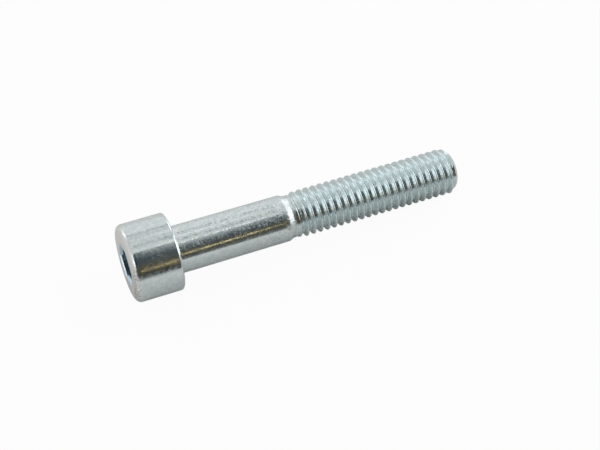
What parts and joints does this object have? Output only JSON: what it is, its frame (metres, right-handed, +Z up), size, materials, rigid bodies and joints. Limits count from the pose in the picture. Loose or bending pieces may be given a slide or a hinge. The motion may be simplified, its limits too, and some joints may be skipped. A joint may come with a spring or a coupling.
{
  "type": "hex socket cap screw",
  "caption": "Zinc-plated hex socket cap screw with a plain cylindrical head, a bare shank and a rolled thread towards its tip, lying as it comes to rest.",
  "frame": {"origin": "centre of the bearing face under the head, on the screw's axis", "axes": "the screw lies as it comes to rest on a level surface: +Z up, +X along the screw from head to tip, with the axis dipping 3 degrees towards the tip; the surface is 6.47 mm below the origin"},
  "size_m": [0.0583, 0.013, 0.0134],
  "materials": {
    "zinc_plated_steel": "bright zinc plating with a faint blue passivation, over forged and thread-rolled steel"
  },
  "bodies": {
    "root": {"cap_screw": "zinc_plated_steel"}
  },
  "joints": []
}
